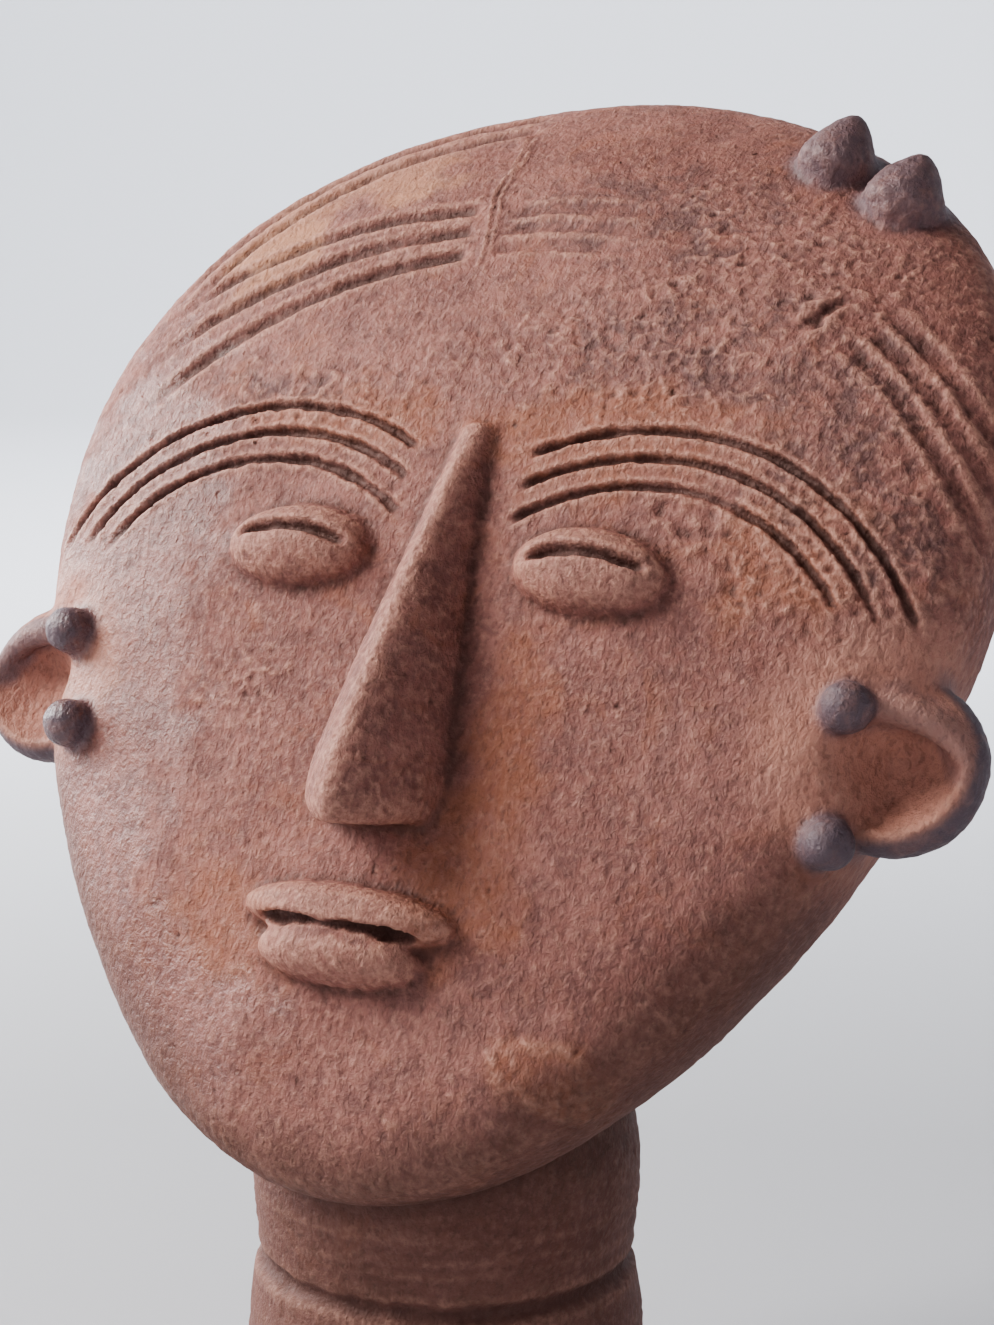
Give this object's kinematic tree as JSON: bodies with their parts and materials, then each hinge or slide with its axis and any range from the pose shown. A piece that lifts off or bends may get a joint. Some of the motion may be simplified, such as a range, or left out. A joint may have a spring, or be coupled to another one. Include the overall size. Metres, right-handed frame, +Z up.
{
  "type": "terracotta funerary head",
  "caption": "Fired-clay memorial head with a flat, backward-leaning face, incised brows and hair bands, cup ears and a ringed neck that stands on its flat base.",
  "frame": {"origin": "centre of the neck's flat underside", "axes": "+Z up along the neck, -Y the way the face looks, +X towards the ear and rim with the two knobs above it"},
  "size_m": [0.1981, 0.1558, 0.2488],
  "materials": {
    "fired_terracotta": "matt fired clay, brownish pink to orange, smoke-darkened on knobs, pellets and ear rims, with a low burnish on the right cheek"
  },
  "bodies": {
    "root": {"terracotta_head": "fired_terracotta"}
  },
  "joints": []
}
